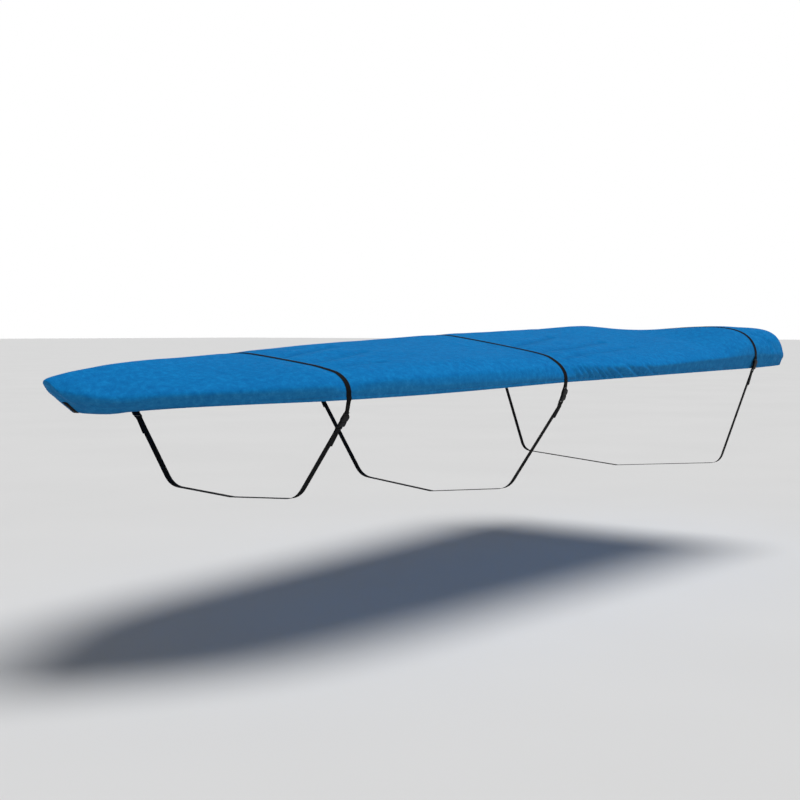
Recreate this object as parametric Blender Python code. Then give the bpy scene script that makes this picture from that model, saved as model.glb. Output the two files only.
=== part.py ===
"""Fitted cover for a small open boat: one hollow cloth shell, three webbing straps and their buckles.

Units are metres and +Z is up. +X runs to the stern and +Y to starboard. The origin is the point
under the middle of the cover's top where the boat holds it up. A station is the distance aft of
the bow tip, and a girth is the distance from the centreline measured round the cloth, port negative.
"""
import math
from bisect import bisect_right
from collections import namedtuple

import bmesh
import bpy
from mathutils import Matrix, Vector

# Driving dimensions
LENGTH = 4.52
ORIGIN_STATION = LENGTH / 2
CLOTH = 0.002
CLEARANCE = 0.0004
SHARP_ANGLE = 35
CLOTH_SHARP_ANGLE = 60

# Cross-sections of the shell. Heights are above the origin. tent is the fall of the top per metre
# off the centreline, cant its extra fall to port, where the nose is pulled down, and edge the height
# of the widest point to starboard. tuck is how far the hem draws in under that point and rake how far
# it lies aft of it. crest is the rise of the two swellings beside the motor well, of which the
# starboard one is lower (STARBOARD_CREST is its share). drift is how far the middle of a cross line
# lies aft of its ends, and power is how tightly the shoulder turns.
Section = namedtuple("Section", "station half_beam ridge tent cant edge hem tuck rake crest drift power")
SECTIONS = (
    Section(0.00, 0.000, -0.136, 0.10, 2.40, -0.146, -0.260, 0.000, 0.127, 0.000, 0.00, 6),
    Section(0.012, 0.030, -0.133, 0.10, 2.20, -0.150, -0.263, 0.001, 0.127, 0.000, 0.00, 8),
    Section(0.06, 0.088, -0.126, 0.27, 0.82, -0.166, -0.266, 0.004, 0.122, 0.000, 0.00, 14),
    Section(0.14, 0.166, -0.114, 0.40, 0.32, -0.182, -0.257, 0.006, 0.110, 0.000, 0.00, 18),
    Section(0.29, 0.285, -0.094, 0.33, 0.05, -0.197, -0.246, 0.008, 0.075, 0.000, 0.01, 18),
    Section(0.49, 0.415, -0.079, 0.235, 0.00, -0.202, -0.238, 0.008, 0.030, 0.000, 0.03, 14),
    Section(0.89, 0.612, -0.060, 0.118, 0.00, -0.198, -0.229, 0.004, 0.000, 0.000, 0.05, 15),
    Section(1.39, 0.685, -0.029, 0.12, 0.00, -0.190, -0.221, 0.004, 0.000, 0.000, 0.06, 14),
    Section(2.24, 0.742, 0.009, 0.152, 0.00, -0.182, -0.203, 0.003, 0.000, 0.000, 0.08, 12),
    Section(2.50, 0.759, 0.018, 0.159, 0.00, -0.167, -0.200, 0.006, 0.000, 0.000, 0.077, 12),
    Section(3.09, 0.798, 0.035, 0.17, 0.00, -0.151, -0.192, 0.011, 0.000, 0.000, 0.06, 12),
    Section(3.66, 0.832, 0.055, 0.155, 0.00, -0.127, -0.185, 0.018, 0.000, 0.000, 0.04, 11),
    Section(4.14, 0.860, 0.029, 0.01, 0.00, -0.109, -0.180, 0.027, 0.000, 0.031, 0.01, 11),
    Section(4.32, 0.871, 0.029, 0.00, 0.00, -0.115, -0.175, 0.023, 0.000, 0.023, 0.00, 14),
    Section(LENGTH, 0.879, 0.029, 0.00, 0.00, -0.122, -0.168, 0.018, 0.000, 0.018, 0.00, 18),
)
RIDGE_RADIUS = 0.05
CREST_HALF_SPACING = 0.60
STARBOARD_CREST = 0.45

# Plan outline and the shoulder that rolls the top over into the skirt
NOSE_STATION = 0.012
STERN_CORNER_RADIUS = 0.05
SHOULDER_START = 0.62
RAKE_POWER = 1.25
HEM_DEPTH = 0.014
HEM_SHARE = 0.45
HEM_ROLL = 0.0012
BOW_TAB_ROWS = 4
BOW_TAB_COLUMNS = (5, 6, 7)

# Mesh lines of the shell
BOW_ROW = 0.14
STERN_ROW = 4.32
ROW_SPACING = 0.12
GROOVE_LINE = 0.055
DECK_COLUMNS = 12
SHOULDER_STEPS = 7
SKIRT_STEPS = 4
BOW_CORNER_STEPS = 3
NOSE_HALF_WIDTH = 0.075
BISECTIONS = 40
TRANSOM_COLUMN_REACH = 0.62

# Straps: station, how far the buckle's upper bar lies below the hem, how far the strap hangs straight
# before the buckle's lean (in degrees off vertical), the buckle's standoff from the cloth, and the
# corner and keel that the strap rounds under the hull.
Strap = namedtuple("Strap", "name station bar_drop straight lean standoff chine_y chine_z keel_z")
STRAPS = (
    Strap("fore", 0.89, 0.046, 0.025, 33.0, 0.0, 0.350, -0.615, -0.635),
    Strap("middle", 2.24, 0.020, 0.004, 18.0, 0.0, 0.436, -0.700, -0.745),
    Strap("aft", 4.125, -0.055, 0.0, 16.0, 0.001, 0.650, -0.720, -0.775),
)
TOP_STRAP_WIDTH = 0.025
LOOP_STRAP_WIDTH = 0.032
WEBBING = 0.0015
STRAP_GROOVE = 0.003
GROOVE_REACH = 0.06

# Main folds of the cloth: two ends, half width and height (a negative height is a trough).
# A fold loses this much of its height towards its ends.
FOLD_TAPER = 0.6
Fold = namedtuple("Fold", "station girth end_station end_girth half_width height")
FOLDS = (
    Fold(0.10, -0.26, 0.16, -0.36, 0.030, 0.004),
    Fold(1.02, -0.10, 1.55, -0.42, 0.060, 0.004),
    Fold(1.05, 0.12, 1.50, 0.46, 0.060, 0.004),
    Fold(0.98, -0.60, 1.30, -0.72, 0.040, 0.004),
    Fold(2.34, -0.66, 2.52, -0.86, 0.035, 0.004),
    Fold(2.42, -0.60, 2.66, -0.84, 0.035, -0.003),
    Fold(2.52, -0.58, 2.84, -0.84, 0.045, 0.003),
    Fold(2.40, -0.20, 3.00, -0.55, 0.070, 0.004),
    Fold(2.38, 0.62, 2.62, 0.86, 0.040, 0.005),
    Fold(3.55, -0.60, 4.00, -0.84, 0.060, 0.004),
    Fold(4.18, 0.66, 4.36, 0.84, 0.050, 0.004),
    Fold(0.89, -0.53, 0.89, -0.67, 0.055, -0.011),
    Fold(0.89, 0.53, 0.89, 0.67, 0.055, -0.011),
    Fold(2.24, -0.66, 2.24, -0.79, 0.055, -0.006),
    Fold(2.24, 0.66, 2.24, 0.79, 0.055, -0.006),
)

# Buckle, in its own axes: across the strap, up the strap, and outwards from it
BUCKLE_REACH = 0.072
BUCKLE_WIDTH = 0.042
BUCKLE_DEPTH = 0.012
BUCKLE_BEVEL = 0.0008
BAR = 0.003
SLOT = 0.0031
RIM = 0.004
SPLIT = 0.036

# Webbing at a buckle: the straight bit before it rounds a bar, where the folded-back end meets the
# strap again, where that end stops, how far the free tail hangs and stands off, and the bends below
WRAP_RADIUS = BAR / 2 + CLEARANCE + WEBBING / 2
WRAP_STEPS = 6
WRAP_LEAD = 0.008
LAP = WEBBING + 2 * CLEARANCE
LAP_START = 0.016
RETURN = 0.032
TAIL = 0.06
TAIL_LIFT = 0.004
CLOTH_RUN_END = 0.011
LOOP_LEAD = 0.022
BEND_RADIUS = 0.05
BEND_STEPS = 5

STATIONS = [row.station for row in SECTIONS]


def secant(column, row):
    """Slope of a column between one row of the sections and the next."""
    low, high = SECTIONS[row], SECTIONS[row + 1]
    return (getattr(high, column) - getattr(low, column)) / (high.station - low.station)


def tangent(column, row):
    """Slope of the smooth curve through a column at a row, which never overshoots its rows."""
    if row == 0:
        return secant(column, 0)
    if row == len(SECTIONS) - 1:
        return secant(column, row - 1)
    before, after = secant(column, row - 1), secant(column, row)
    if before * after <= 0.0:
        return 0.0
    return 2.0 * before * after / (before + after)


def section(column, station):
    """Value of one column of the sections at any station."""
    row = min(max(bisect_right(STATIONS, station) - 1, 0), len(SECTIONS) - 2)
    low, high = SECTIONS[row], SECTIONS[row + 1]
    span = high.station - low.station
    t = min(max((station - low.station) / span, 0.0), 1.0)
    start, end = getattr(low, column), getattr(high, column)
    leave, arrive = tangent(column, row) * span, tangent(column, row + 1) * span
    return (start * (1 + 2 * t) * (1 - t) ** 2 + leave * t * (1 - t) ** 2
            + end * t * t * (3 - 2 * t) - arrive * t * t * (1 - t))


def fall(y):
    """How far from the centreline the top has fallen, with its ridge rounded."""
    return math.hypot(y, RIDGE_RADIUS) - RIDGE_RADIUS


def cant(station, y):
    """How much lower the top lies to port."""
    return section("cant", station) * fall(y) if y < 0.0 else 0.0


def top_height(station, y):
    """Height of the top of the cover before its shoulder rolls over."""
    offset = min(abs(abs(y) - CREST_HALF_SPACING), CREST_HALF_SPACING)
    swelling = 0.5 + 0.5 * math.cos(math.pi * offset / CREST_HALF_SPACING)
    swelling *= STARBOARD_CREST if y > 0.0 else 1.0
    return (section("ridge", station) - section("tent", station) * fall(y) - cant(station, y)
            + section("crest", station) * swelling)


def rim_height(station, y):
    """Height of the widest point."""
    return section("edge", station) - cant(station, y)


def shoulder_drop(station):
    """How far the shoulder rolls down below the top at the widest point."""
    return top_height(station, section("half_beam", station)) - section("edge", station)


def rolled(power, t):
    """Share of the shoulder's drop at a share t of the half beam."""
    return 1.0 - math.sqrt(max(0.0, 1.0 - abs(t) ** power))


def nose_station(y):
    """Station where the rounded nose, in plan, has this half beam."""
    nose_half_beam = section("half_beam", NOSE_STATION)
    if abs(y) <= nose_half_beam:
        return NOSE_STATION * (y / nose_half_beam) ** 2
    low, high = NOSE_STATION, BOW_ROW
    for _ in range(BISECTIONS):
        middle = (low + high) / 2
        if section("half_beam", middle) < abs(y):
            low = middle
        else:
            high = middle
    return low


def row_stations():
    """Stations of the shell's cross lines, with a pair under the edges of each strap."""
    rows = [BOW_ROW]
    for strap in STRAPS:
        edge = TOP_STRAP_WIDTH / 2
        rows += [strap.station - GROOVE_LINE, strap.station - edge,
                 strap.station + edge, strap.station + GROOVE_LINE]
    rows.append(STERN_ROW)
    filled = [rows[0]]
    for station in rows[1:]:
        gap = station - filled[-1]
        steps = max(1, math.ceil(gap / ROW_SPACING))
        start = filled[-1]
        filled += [start + gap * k / steps for k in range(1, steps + 1)]
    return filled


def relief(station, girth):
    """How far the cloth stands out from its plain form: strap grooves and folds."""
    rise = 0.0
    for strap in STRAPS:
        rise -= STRAP_GROOVE * math.exp(-((station - strap.station) / GROOVE_REACH) ** 2)
    for fold in FOLDS:
        along = Vector((fold.end_station - fold.station, fold.end_girth - fold.girth))
        point = Vector((station - fold.station, girth - fold.girth))
        t = point.dot(along) / along.length_squared
        aside = (point - along * t).length / fold.half_width
        beyond = max(-t, t - 1.0, 0.0) * along.length / fold.half_width
        taper = max(0.0, 1.0 - FOLD_TAPER * (2.0 * t - 1.0) ** 2)
        rise += fold.height * taper * math.exp(-aside ** 2 - beyond ** 2)
    return rise


class Shell:
    """The cloth's outer surface: a deck grid with a shoulder and skirt all round it."""

    def __init__(self):
        self.bm = bmesh.new()
        self.places = {}
        self.skirt = set()
        self.rows = row_stations()
        self.deck = [self.deck_row(station) for station in self.rows]
        self.ring = []
        self.lines = {}
        self.make_profiles()
        self.make_faces()
        self.raise_folds()

    def vertex(self, station, y, z, drift, before=None):
        """Add one vertex and note its place on the cloth, measured on from the vertex before it."""
        vertex = self.bm.verts.new((station + drift - ORIGIN_STATION, y, z))
        girth = abs(y)
        if before:
            girth = abs(self.places[before][1]) + (vertex.co - before.co).length
        self.places[vertex] = (station, math.copysign(girth, y))
        return vertex

    def deck_row(self, station):
        """One cross line of the deck, port to starboard."""
        half = section("half_beam", station)
        drift = section("drift", station)
        power = section("power", station)
        row = []
        for column in range(DECK_COLUMNS + 1):
            t = SHOULDER_START * (2 * column / DECK_COLUMNS - 1)
            y = half * t
            z = top_height(station, y) - shoulder_drop(station) * rolled(power, t)
            row.append(self.vertex(station, y, z, drift * (1 - t * t)))
        return row

    def profile(self, inner, outer):
        """One line from the deck's rim over the shoulder and down the skirt to the hem."""
        station, _ = self.places[inner]
        y = inner.co.y
        out_station, out_y = outer
        drift = section("drift", station)
        drop = top_height(out_station, out_y) - rim_height(out_station, out_y)
        power = section("power", out_station)
        line = [inner]
        start = top_height(station, y) - inner.co.z
        start_roll = rolled(power, SHOULDER_START)
        first = math.asin(SHOULDER_START ** (power / 2))
        for step in range(1, SHOULDER_STEPS + 1):
            angle = first + (math.pi / 2 - first) * step / SHOULDER_STEPS
            t = math.sin(angle) ** (2 / power)
            f = (t - SHOULDER_START) / (1 - SHOULDER_START)
            s = station + (out_station - station) * f
            w = y + (out_y - y) * f
            roll = (rolled(power, t) - start_roll) / (1 - start_roll)
            z = top_height(s, w) - start - (drop - start) * roll
            line.append(self.vertex(s, w, z, drift * (1 - t * t), line[-1]))
        inward = Vector((station - out_station, y - out_y)).normalized()
        self.add_skirt(line, inward, out_station, out_y)
        return line

    def add_skirt(self, line, inward, out_station, out_y):
        """The skirt below the widest point: it draws in to a rolled hem."""
        edge, hem = rim_height(out_station, out_y), section("hem", out_station)
        hem_top = hem + min(HEM_DEPTH, HEM_SHARE * (edge - hem))
        heights = [edge + (hem_top - edge) * k / SKIRT_STEPS for k in range(1, SKIRT_STEPS + 1)]
        heights += [(hem_top + hem) / 2, hem]
        rolls = [0.0] * SKIRT_STEPS + [HEM_ROLL, 0.0]
        for height, roll in zip(heights, rolls):
            down = (edge - height) / (edge - hem)
            place = Vector((out_station, out_y)) + inward * (section("tuck", out_station) * down - roll)
            place.x += section("rake", out_station) * down ** RAKE_POWER
            line.append(self.vertex(place.x, place.y, height, 0.0, line[-1]))
            self.skirt.add(line[-1])

    def make_profiles(self):
        """Profiles round the whole deck, in order, starting at the bow's port corner."""
        last_row, last_column = len(self.rows) - 1, DECK_COLUMNS
        for column in range(last_column + 1):
            y = NOSE_HALF_WIDTH * (2 * column / last_column - 1)
            self.add_profile((0, column), (nose_station(y), y))
        self.bow_corner(1, last_column)
        for row in range(last_row + 1):
            self.add_side(row, last_column, 1)
        self.stern_corner(1, last_row, last_column)
        for column in range(last_column, -1, -1):
            y = TRANSOM_COLUMN_REACH * (2 * column / last_column - 1)
            self.add_profile((last_row, column), (LENGTH, y))
        self.stern_corner(-1, last_row, 0)
        for row in range(last_row, -1, -1):
            self.add_side(row, 0, -1)
        self.bow_corner(-1, 0)

    def add_profile(self, inner, outer, key=None):
        """Make a profile at a deck vertex and append it to the ring."""
        line = self.profile(self.deck[inner[0]][inner[1]], outer)
        self.ring.append((inner, line))
        if key:
            self.lines[key] = line

    def add_side(self, row, column, side):
        """The profile at one end of a cross line."""
        station = self.rows[row]
        outer = (station, side * section("half_beam", station))
        self.add_profile((row, column), outer, (row, side))

    def bow_corner(self, side, column):
        """Extra profiles between the nose and the first cross line."""
        start, end = NOSE_HALF_WIDTH, section("half_beam", BOW_ROW)
        places = [start + (end - start) * k / BOW_CORNER_STEPS for k in range(1, BOW_CORNER_STEPS)]
        if side < 0:
            places.reverse()
        for y in places:
            self.add_profile((0, column), (nose_station(y), side * y))

    def stern_corner(self, side, row, column):
        """Extra profiles that fan round a rounded stern corner."""
        centre = LENGTH - STERN_CORNER_RADIUS
        half = section("half_beam", centre)
        outers = [((STERN_ROW + centre) / 2, half)]
        for degrees in (0, 30, 60, 90):
            angle = math.radians(degrees)
            outers.append((centre + STERN_CORNER_RADIUS * math.sin(angle),
                           half - STERN_CORNER_RADIUS * (1 - math.cos(angle))))
        outers.append((LENGTH, (half - STERN_CORNER_RADIUS + TRANSOM_COLUMN_REACH) / 2))
        if side < 0:
            outers.reverse()
        for station, y in outers:
            self.add_profile((row, column), (station, side * y))

    def make_faces(self):
        """Quads of the deck, then of the shoulder and skirt between neighbouring profiles."""
        for ahead, behind in zip(self.deck, self.deck[1:]):
            for column in range(DECK_COLUMNS):
                self.bm.faces.new((ahead[column], behind[column],
                                   behind[column + 1], ahead[column + 1]))
        for (_, one), (_, two) in zip(self.ring, self.ring[1:] + self.ring[:1]):
            if one[0] is two[0]:
                self.bm.faces.new((one[0], two[1], one[1]))
            else:
                self.bm.faces.new((one[0], two[0], two[1], one[1]))
            for k in range(1, len(one) - 1):
                self.bm.faces.new((one[k], two[k], two[k + 1], one[k + 1]))
        bmesh.ops.recalc_face_normals(self.bm, faces=self.bm.faces)
        self.bm.normal_update()
        if self.deck[0][0].normal.z < 0.0:
            bmesh.ops.reverse_faces(self.bm, faces=self.bm.faces)

    def raise_folds(self):
        """Move each vertex along its normal by the grooves and folds, the skirt level."""
        moves = []
        for vertex in self.bm.verts:
            normal = vertex.normal.copy()
            if vertex in self.skirt:
                normal.z = 0.0
            moves.append((vertex, normal.normalized() * relief(*self.places[vertex])))
        for vertex, move in moves:
            vertex.co += move
        self.bm.normal_update()

    def across(self, station):
        """Points and normals over the cover along the cross line at a station, port to starboard."""
        row = min(range(len(self.rows)), key=lambda k: abs(self.rows[k] - station))
        line = self.lines[(row, -1)][:0:-1] + self.deck[row] + self.lines[(row, 1)][1:]
        return [(v.co.copy(), v.normal.copy()) for v in line]


def make_material(name, colour, roughness, metallic=0.0):
    """A plain Principled material."""
    material = bpy.data.materials.new(name)
    material.use_nodes = True
    shader = material.node_tree.nodes["Principled BSDF"]
    shader.inputs["Base Color"].default_value = (*colour, 1.0)
    shader.inputs["Roughness"].default_value = roughness
    shader.inputs["Metallic"].default_value = metallic
    return material


def add_object(name, bm, material, smooth_angle=SHARP_ANGLE):
    """Turn a bmesh into a named object with its material."""
    mesh = bpy.data.meshes.new(name)
    bm.to_mesh(mesh)
    bm.free()
    mesh.materials.append(material)
    mesh.shade_smooth()
    mesh.set_sharp_from_angle(angle=math.radians(smooth_angle))
    item = bpy.data.objects.new(name, mesh)
    bpy.context.scene.collection.objects.link(item)
    return item


def make_cover(shell, material):
    """The cloth shell, thickened inwards from its outer surface."""
    cover = add_object("cover", shell.bm, material, CLOTH_SHARP_ANGLE)
    thicken = cover.modifiers.new("cloth thickness", 'SOLIDIFY')
    thicken.thickness = CLOTH
    thicken.offset = -1.0
    thicken.use_rim = True
    return cover


def make_ribbon(name, stations, material):
    """A closed strip of webbing. Each station is (points across the strip, outward normal)."""
    bm = bmesh.new()
    rings = []
    for across, normal in stations:
        lift = normal * (WEBBING / 2)
        under = [bm.verts.new(point - lift) for point in across]
        over = [bm.verts.new(point + lift) for point in reversed(across)]
        rings.append(under + over)
    for one, two in zip(rings, rings[1:]):
        for k in range(len(one)):
            n = (k + 1) % len(one)
            bm.faces.new((one[k], one[n], two[n], two[k]))
    bm.faces.new(rings[0])
    bm.faces.new(rings[-1][::-1])
    bmesh.ops.recalc_face_normals(bm, faces=bm.faces)
    return add_object(name, bm, material)


def unit(side, lean):
    """Down and outward directions of a strap's run in its own cross plane."""
    angle = math.radians(lean)
    down = Vector((0.0, -side * math.sin(angle), -math.cos(angle)))
    outward = Vector((0.0, side * math.cos(angle), -math.sin(angle)))
    return down, outward


def wrap(bar, down, outward, turn):
    """Centreline of the webbing round a bar, from behind it to its front."""
    points = []
    for k in range(WRAP_STEPS + 1):
        angle = math.pi * k / WRAP_STEPS
        spoke = down * turn * math.sin(angle) - outward * math.cos(angle)
        points.append(bar + spoke * WRAP_RADIUS)
    return points


def in_plane(points, station, width):
    """Strip stations for a centreline that lies in one cross plane."""
    result = []
    half = Vector((width / 2, 0.0, 0.0))
    for k, point in enumerate(points):
        before, after = points[max(k - 1, 0)], points[min(k + 1, len(points) - 1)]
        along = (after - before).normalized()
        normal = Vector((1.0, 0.0, 0.0)).cross(along)
        centre = Vector((station - ORIGIN_STATION, point.y, point.z))
        result.append(((centre - half, centre + half), normal))
    return result


def rounded(points):
    """The same run with its inner corners rounded."""
    result = [points[0]]
    for before, corner, after in zip(points, points[1:], points[2:]):
        into, away = (corner - before).normalized(), (after - corner).normalized()
        reach = min(BEND_RADIUS, (corner - before).length / 3, (after - corner).length / 3)
        start, end = corner - into * reach, corner + away * reach
        for k in range(BEND_STEPS + 1):
            t = k / BEND_STEPS
            result.append(start * (1 - t) ** 2 + corner * 2 * t * (1 - t) + end * t * t)
    return result + [points[-1]]


class StrapRun:
    """Where one strap runs: its two buckles and the webbing above and below them."""

    def __init__(self, shell, strap):
        self.strap = strap
        edge = TOP_STRAP_WIDTH / 2
        self.fore = shell.across(strap.station - edge)
        self.aft = shell.across(strap.station + edge)
        hem = (self.fore[0][0] + self.aft[0][0]) / 2
        self.bar_height = hem.z - strap.bar_drop

    def over_cover(self):
        """Strip stations that lie on the cloth, above the buckles."""
        lift = CLEARANCE + WEBBING / 2
        stations = []
        for (fore, fore_normal), (aft, aft_normal) in zip(self.fore, self.aft):
            normal = (fore_normal + aft_normal).normalized()
            if (fore.z + aft.z) / 2 > self.bar_height + CLOTH_RUN_END:
                stations.append(((fore + normal * lift, aft + normal * lift), normal))
        return stations

    def upper_end(self, side):
        """Where the strap's back run meets the buckle's upper bar."""
        down, outward = unit(side, self.strap.lean)
        stations = self.over_cover()
        (fore, aft), _ = stations[-1] if side > 0 else stations[0]
        leave = (fore + aft) / 2
        leave.z -= self.strap.straight
        run = (leave.z - self.bar_height) / math.cos(math.radians(self.strap.lean))
        return leave + down * run + outward * self.strap.standoff

    def bars(self, side):
        """Centres of the buckle's upper and lower bars."""
        down, outward = unit(side, self.strap.lean)
        upper = self.upper_end(side) + outward * WRAP_RADIUS
        return upper, upper + down * BUCKLE_REACH

    def top_end(self, side):
        """Centreline from the hem to the upper bar, round it and back up in front."""
        down, outward = unit(side, self.strap.lean)
        upper, _ = self.bars(side)
        behind = upper - outward * WRAP_RADIUS
        front = behind + outward * LAP
        around = wrap(upper, down, outward, 1)
        return [behind - down * WRAP_LEAD, *around, front - down * LAP_START, front - down * RETURN]

    def top_strap(self, material):
        """The sewn-on strap from buckle to buckle over the cover."""
        cloth = self.over_cover()
        port = in_plane(self.top_end(-1)[::-1], self.strap.station, TOP_STRAP_WIDTH)
        starboard = in_plane(self.top_end(1), self.strap.station, TOP_STRAP_WIDTH)
        return make_ribbon(f"strap_top_{self.strap.name}", port + cloth + starboard, material)

    def loop_half(self, side):
        """Centreline of one side of the under-hull strap, from its free tail to the keel."""
        down, outward = unit(side, self.strap.lean)
        _, lower = self.bars(side)
        bar = Vector((0.0, lower.y, lower.z))
        behind = bar - outward * WRAP_RADIUS
        front = behind + outward * LAP
        chine = Vector((0.0, side * self.strap.chine_y, self.strap.chine_z))
        keel = Vector((0.0, 0.0, self.strap.keel_z))
        bend = behind + down * LOOP_LEAD
        along = (chine - bend).normalized()
        tail_bend = front + down * LOOP_LEAD
        tail = [tail_bend + along * TAIL + outward * TAIL_LIFT, tail_bend, front + down * LAP_START]
        around = wrap(bar, down, outward, -1)[::-1]
        return tail + around + rounded([behind + down * WRAP_LEAD, bend, chine, keel])

    def loop_strap(self, material):
        """The strap under the hull, with a free tail at each end."""
        port = self.loop_half(-1)
        starboard = self.loop_half(1)[::-1]
        points = port + starboard[1:]
        stations = in_plane(points, self.strap.station, LOOP_STRAP_WIDTH)
        return make_ribbon(f"strap_loop_{self.strap.name}", stations, material)


def make_bow_tab(shell, material):
    """The short webbing tab sewn up the stem from the hem."""
    lines = [shell.ring[column][1] for column in BOW_TAB_COLUMNS]
    stations = []
    lift = CLEARANCE + WEBBING / 2
    for row in range(-BOW_TAB_ROWS, 0):
        normal = lines[1][row].normal
        across = [line[row].co + line[row].normal * lift for line in lines]
        stations.append((across, normal))
    make_ribbon("bow_tab", stations, material)


def stepped_plate(across, up, heights):
    """A plate on a grid of cells, each with its own height; None leaves the cell open."""
    bm = bmesh.new()
    corners = {}
    levels = sorted({0.0} | {z for row in heights for z in row if z})

    def corner(i, j, z):
        key = (i, j, round(z, 6))
        if key not in corners:
            corners[key] = bm.verts.new((across[i], up[j], z))
        return corners[key]

    def height(i, j):
        inside = 0 <= i < len(across) - 1 and 0 <= j < len(up) - 1
        return (heights[j][i] or 0.0) if inside else 0.0

    for j in range(len(up) - 1):
        for i in range(len(across) - 1):
            top = height(i, j)
            if not top:
                continue
            cell = ((i, j), (i + 1, j), (i + 1, j + 1), (i, j + 1))
            bm.faces.new([corner(*c, top) for c in cell])
            bm.faces.new([corner(*c, 0.0) for c in reversed(cell)])
            neighbours = ((i, j - 1), (i + 1, j), (i, j + 1), (i - 1, j))
            for k, beside in enumerate(neighbours):
                a, b = cell[k], cell[(k + 1) % 4]
                for low, high in zip(levels, levels[1:]):
                    if height(*beside) <= low and high <= top:
                        bm.faces.new((corner(*a, low), corner(*b, low),
                                      corner(*b, high), corner(*a, high)))
    return bm


def buckle_mesh(name, up, heights, material):
    """Mesh of one half of a buckle, kept for all its copies."""
    half, inner = BUCKLE_WIDTH / 2, BUCKLE_WIDTH / 2 - RIM
    across = [-half, -inner, inner, half]
    bm = stepped_plate(across, up, heights)
    bmesh.ops.recalc_face_normals(bm, faces=bm.faces)
    bmesh.ops.translate(bm, verts=bm.verts, vec=(0.0, 0.0, -BAR / 2))
    outline = [e for e in bm.edges if e.calc_face_angle(0.0) > math.radians(SHARP_ANGLE)]
    bmesh.ops.bevel(bm, geom=outline, offset=BUCKLE_BEVEL, segments=1, affect='EDGES')
    mesh = bpy.data.meshes.new(name)
    bm.to_mesh(mesh)
    bm.free()
    mesh.materials.append(material)
    mesh.shade_smooth()
    mesh.set_sharp_from_angle(angle=math.radians(SHARP_ANGLE))
    return mesh


def make_buckles(runs, material):
    """A socket on the upper strap and a plug on the lower one, each side of each strap."""
    frame, body = BAR, BUCKLE_DEPTH
    socket_up = [-SPLIT, -SLOT - 1.5 * BAR, -SLOT - BAR / 2, -BAR / 2, BAR / 2]
    socket = buckle_mesh("buckle_socket", socket_up, (
        (body, body, body), (frame, frame, frame), (frame, None, frame), (frame, frame, frame),
    ), material)
    plug_length = BUCKLE_REACH - SPLIT - CLEARANCE
    plug_up = [-BAR / 2, BAR / 2, SLOT + BAR / 2, SLOT + 1.5 * BAR, plug_length]
    plug = buckle_mesh("buckle_plug", plug_up, (
        (frame, frame, frame), (frame, None, frame), (frame, frame, frame), (body, body, body),
    ), material)
    for run in runs:
        for side, label in ((-1, "port"), (1, "starboard")):
            down, outward = unit(side, run.strap.lean)
            upper, lower = run.bars(side)
            for kind, mesh, bar in (("socket", socket, upper), ("plug", plug, lower)):
                item = bpy.data.objects.new(f"buckle_{kind}_{run.strap.name}_{label}", mesh)
                bpy.context.scene.collection.objects.link(item)
                across = (-down).cross(outward)
                axes = Matrix((across, -down, outward)).transposed().to_4x4()
                bar = Vector((run.strap.station - ORIGIN_STATION, bar.y, bar.z))
                item.matrix_world = Matrix.Translation(bar) @ axes


def clear_scene():
    """Remove whatever the scene holds."""
    for item in list(bpy.data.objects):
        bpy.data.objects.remove(item)


def main():
    """Build the whole cover."""
    clear_scene()
    cloth = make_material("cover cloth", (0.011, 0.19, 0.50), 0.75)
    webbing = make_material("webbing", (0.010, 0.010, 0.011), 0.8)
    plastic = make_material("buckle plastic", (0.012, 0.011, 0.011), 0.45)
    shell = Shell()
    runs = [StrapRun(shell, strap) for strap in STRAPS]
    for run in runs:
        run.top_strap(webbing)
        run.loop_strap(webbing)
    make_bow_tab(shell, webbing)
    make_buckles(runs, plastic)
    make_cover(shell, cloth)


main()
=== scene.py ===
"""Looks of the fitted boat cover: finer cloth, webbing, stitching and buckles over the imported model.

Units are metres, +X runs to the stern, +Y to starboard and +Z up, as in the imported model. A station is
the distance aft of the bow tip, and a girth is the distance from the centreline measured round the
cloth, port negative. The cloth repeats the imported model's cross-sections on a finer grid.
"""
import math
from bisect import bisect_right
from collections import namedtuple

import bmesh
import bpy
from mathutils import Matrix, Vector, noise


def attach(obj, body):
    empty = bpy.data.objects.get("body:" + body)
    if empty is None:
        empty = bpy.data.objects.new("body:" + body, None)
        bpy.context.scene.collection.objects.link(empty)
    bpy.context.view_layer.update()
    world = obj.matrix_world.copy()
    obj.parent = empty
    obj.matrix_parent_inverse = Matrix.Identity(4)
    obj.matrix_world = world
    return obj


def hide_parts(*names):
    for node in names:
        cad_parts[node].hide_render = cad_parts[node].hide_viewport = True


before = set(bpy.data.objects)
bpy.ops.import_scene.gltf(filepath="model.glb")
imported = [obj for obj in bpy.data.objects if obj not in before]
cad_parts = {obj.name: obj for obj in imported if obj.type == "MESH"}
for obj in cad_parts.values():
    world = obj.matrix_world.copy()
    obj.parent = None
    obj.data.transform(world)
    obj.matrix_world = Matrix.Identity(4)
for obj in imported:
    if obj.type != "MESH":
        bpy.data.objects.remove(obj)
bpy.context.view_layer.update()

# Driving dimensions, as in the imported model
LENGTH = 4.52
ORIGIN_STATION = LENGTH / 2
CLOTH = 0.002
CLEARANCE = 0.0004

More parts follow.
